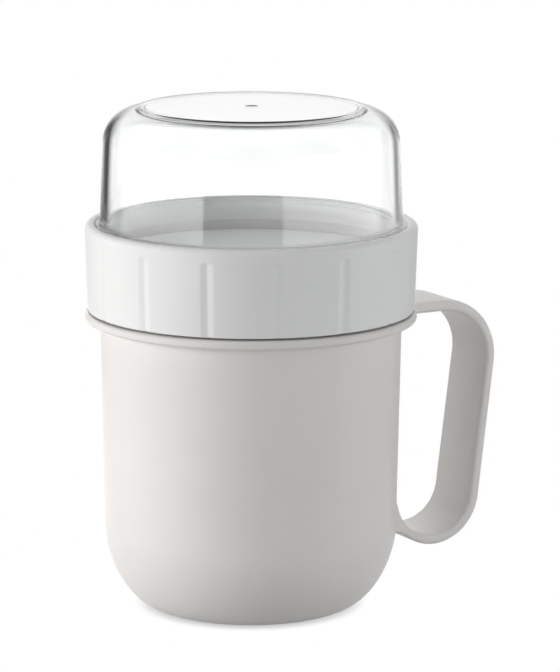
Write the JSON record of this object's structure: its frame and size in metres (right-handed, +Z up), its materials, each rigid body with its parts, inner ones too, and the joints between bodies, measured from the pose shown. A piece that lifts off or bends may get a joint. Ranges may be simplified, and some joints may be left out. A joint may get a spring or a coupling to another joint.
{
  "type": "to-go cup",
  "caption": "Handled plastic cup with a two-sided screw collar and a clear bowl worn upside down on top, for carrying two foods apart.",
  "frame": {"origin": "centre of the flat base, on the axis of the cup", "axes": "+Z up along the axis of the cup, +X towards the handle"},
  "size_m": [0.1359, 0.104, 0.158],
  "materials": {
    "cup_plastic": "warm off-white moulded polypropylene, satin",
    "collar_plastic": "cool pale grey moulded polypropylene, satin",
    "clear_plastic": "clear, polished",
    "seal_silicone": "translucent white silicone"
  },
  "bodies": {
    "cup": {"cup": "cup_plastic"},
    "cup_seal_ring": {"cup_seal": "seal_silicone"},
    "collar": {"screw_collar": "collar_plastic"},
    "bowl_seal_ring": {"bowl_seal": "seal_silicone"},
    "bowl": {"clear_bowl": "clear_plastic"}
  },
  "joints": [
    {"name": "collar_lift", "type": "slide", "parent": "cup", "child": "cup_seal_ring", "axis": [0, 0, 1], "range_m": [0, 0.01321]},
    {"name": "collar_turn", "type": "hinge", "parent": "cup_seal_ring", "child": "collar", "pos_m": [0, 0, 0.1], "axis": [0, 0, 1], "range_deg": [0, 360]},
    {"name": "bowl_lift", "type": "slide", "parent": "collar", "child": "bowl_seal_ring", "axis": [0, 0, 1], "range_m": [0, 0.01021]},
    {"name": "bowl_turn", "type": "hinge", "parent": "bowl_seal_ring", "child": "bowl", "pos_m": [0, 0, 0.117], "axis": [0, 0, 1], "range_deg": [0, 360]}
  ],
  "couplings": [
    {"joint": "collar_lift", "follows": "collar_turn", "m_per_rad": 0.0021008},
    {"joint": "bowl_lift", "follows": "bowl_turn", "m_per_rad": 0.0016234}
  ]
}
